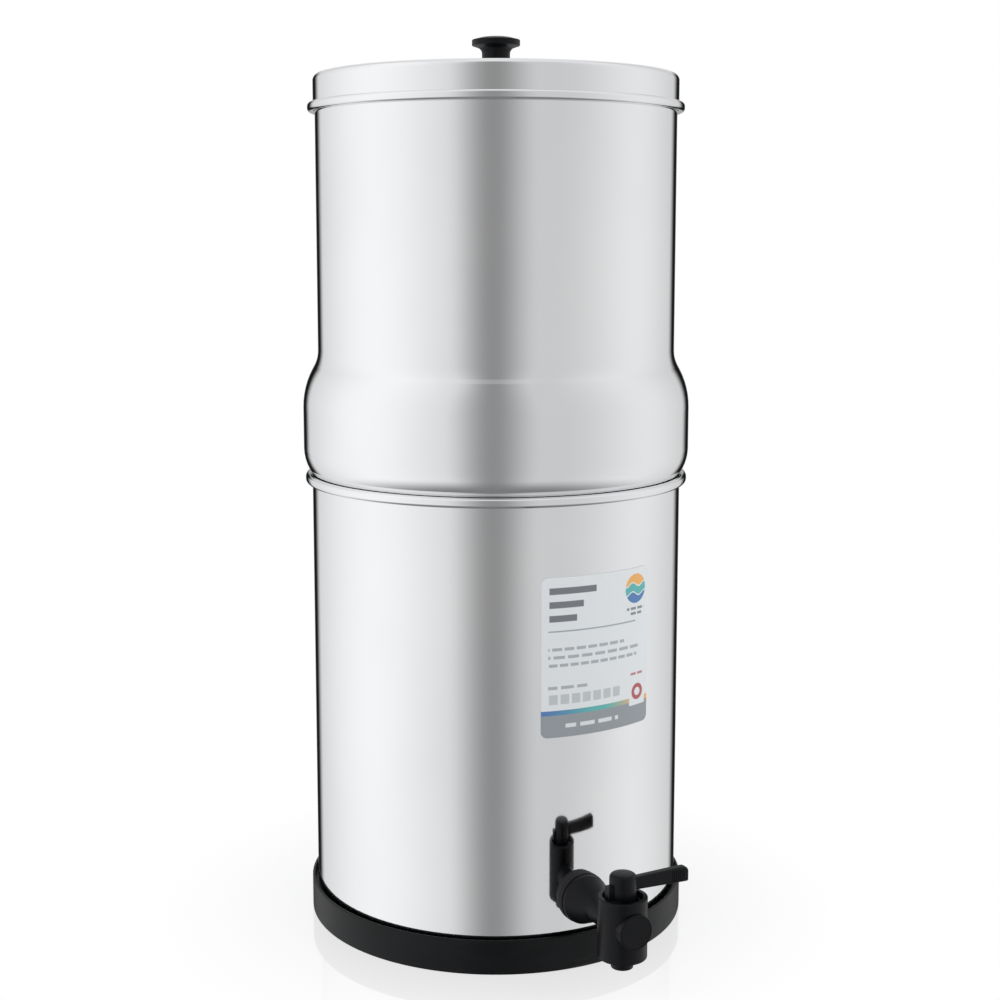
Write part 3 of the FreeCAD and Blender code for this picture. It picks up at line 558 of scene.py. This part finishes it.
def studio_floor():
    """Round white floor with a soft sheen that gives a faint mirror image and shadow near the filter."""
    mesh = bpy.data.meshes.new("floor")
    shape = bmesh.new()
    bmesh.ops.create_circle(shape, cap_ends=True, radius=FLOOR_RADIUS, segments=96)
    shape.to_mesh(mesh)
    shape.free()
    floor = bpy.data.objects.new("floor", mesh)
    bpy.context.collection.objects.link(floor)
    made, s = new_material("studio_floor")
    x, y, z = s.split(s.place())
    away = s.math("SQRT", x * x + y * y)
    plain = s.add("ShaderNodeBsdfPrincipled", None, {"Base Color": (0.9, 0.9, 0.9), "Roughness": 0.3})
    sheen = s.add("ShaderNodeBsdfGlossy", None, {"Color": (1, 1, 1), "Roughness": 0.03})
    glow = s.add("ShaderNodeEmission", None, {"Color": (1, 1, 1), "Strength": 1.0})
    camera = s.add("ShaderNodeLightPath", output="Is Camera Ray")
    near = s.smooth(away, NEAR_START, NEAR_END, 1, 0)
    lit = s.add("ShaderNodeMixShader", None, {0: camera * (1 - near * SHADOW_SHARE), 1: plain, 2: glow})
    polished = s.add("ShaderNodeMixShader", None, {0: camera * near * MIRROR_SHARE, 1: lit, 2: sheen})
    s.end("ShaderNodeOutputMaterial", polished)
    mesh.materials.append(made)
    floor.visible_glossy = False


def lamp(name, turn, lift, watts):
    """Area lamp aimed at the filter's middle, hidden from the steel, which sees the soft boxes."""
    light = bpy.data.lights.new(name, "AREA")
    light.shape = "RECTANGLE"
    light.size, light.size_y = LAMP_SIZE
    light.energy = watts
    turn = CAMERA_TURN + math.radians(turn)
    lift = math.radians(lift)
    away = Vector((math.sin(turn) * math.cos(lift), -math.cos(turn) * math.cos(lift), math.sin(lift)))
    made = bpy.data.objects.new(name, light)
    made.location = Vector((0, 0, LAMP_AIM)) + away * LAMP_DISTANCE
    made.rotation_euler = away.to_track_quat("Z", "Y").to_euler()
    made.visible_glossy = False
    bpy.context.collection.objects.link(made)


def studio_camera():
    """Camera at its measured place, with the filter's axis at its measured column."""
    data = bpy.data.cameras.new("camera")
    data.lens = LENS_MM
    data.sensor_width = SENSOR_WIDTH
    data.shift_x = (IMAGE_SIZE / 2 - AXIS_COLUMN) / IMAGE_SIZE
    data.shift_y = -SHIFT_UP
    camera = bpy.data.objects.new("camera", data)
    camera.location = (math.sin(CAMERA_TURN) * CAMERA_DISTANCE, -math.cos(CAMERA_TURN) * CAMERA_DISTANCE,
                       CAMERA_HEIGHT)
    camera.rotation_euler = (math.pi / 2 - CAMERA_PITCH, 0, CAMERA_TURN)
    bpy.context.collection.objects.link(camera)
    bpy.context.scene.camera = camera


# Finishes on the solids

chamber_steel = polished_sheet("chamber_steel", True)
lid_steel = polished_sheet("lid_steel", False)
nylon = black_nylon("black_nylon")
hidden_white = white_nylon()
finish_of_slot = {
    "steel_body": chamber_steel,
    "zinc_steel": turned_hardware(),
    "rubber_base": foot_rubber(),
    "black_rubber": seal_rubber(),
    "black_plastic": nylon,
    "white_plastic": hidden_white,
    "ceramic": porous_ceramic(),
    "label_print": label_card(),
}
for node in NODES.values():
    for slot in node.material_slots:
        slot.material = finish_of_slot[slot.material.name.split(".")[0]]
NODES["lid_shell"].material_slots[0].material = lid_steel
NODES["tap_front_plate"].material_slots[0].material = black_nylon("boss_nylon", True)

# Fine rolls over the chamber's rim and the lid's edge
join("lower_rim_roll", [(fine_roll(*LOWER_ROLL, chamber_steel), Matrix())], "base")
join("lid_edge_roll", [(fine_roll(*LID_ROLL, lid_steel), Matrix())], "lid")

# Ribs on the lever and threads on the tap's tail and the candles' stems
from_ribs = lever_ribs(nylon)
ribs = [(from_ribs, Matrix.Translation((RIB_START, -TAP_AXIS + side * LEVER_SIDE, LEVER_HEIGHT)))
        for side in (-1, 1)]
join("lever_grip", ribs, "valve")

tail = thread_ridge(TAIL_RADIUS, TAIL_NUT - TAIL_END - 1.2 * MM, TAIL_PITCH, nylon)
tail_place = Matrix.Translation((0, -TAIL_END - 0.8 * MM, BARREL_HEIGHT))
along_tap = tail_place @ Matrix.Rotation(math.pi / 2, 4, "X")
join("tap_tail_thread", [(tail, along_tap)], "base")

stem = thread_ridge(STEM_RADIUS, STEM_NUT - STEM_END - 1.5 * MM, STEM_PITCH, hidden_white)
stems = [(stem, Matrix.Translation((side * CANDLE_PITCH, 0, STEM_END + 1 * MM))) for side in (-1, 1)]
join("candle_stem_threads", stems, "upper")

studio_world()
studio_floor()
lamp("left_softbox", -70, 25, 8)
lamp("right_softbox", 65, 20, 6)
studio_camera()
bpy.context.scene.view_settings.view_transform = "Standard"
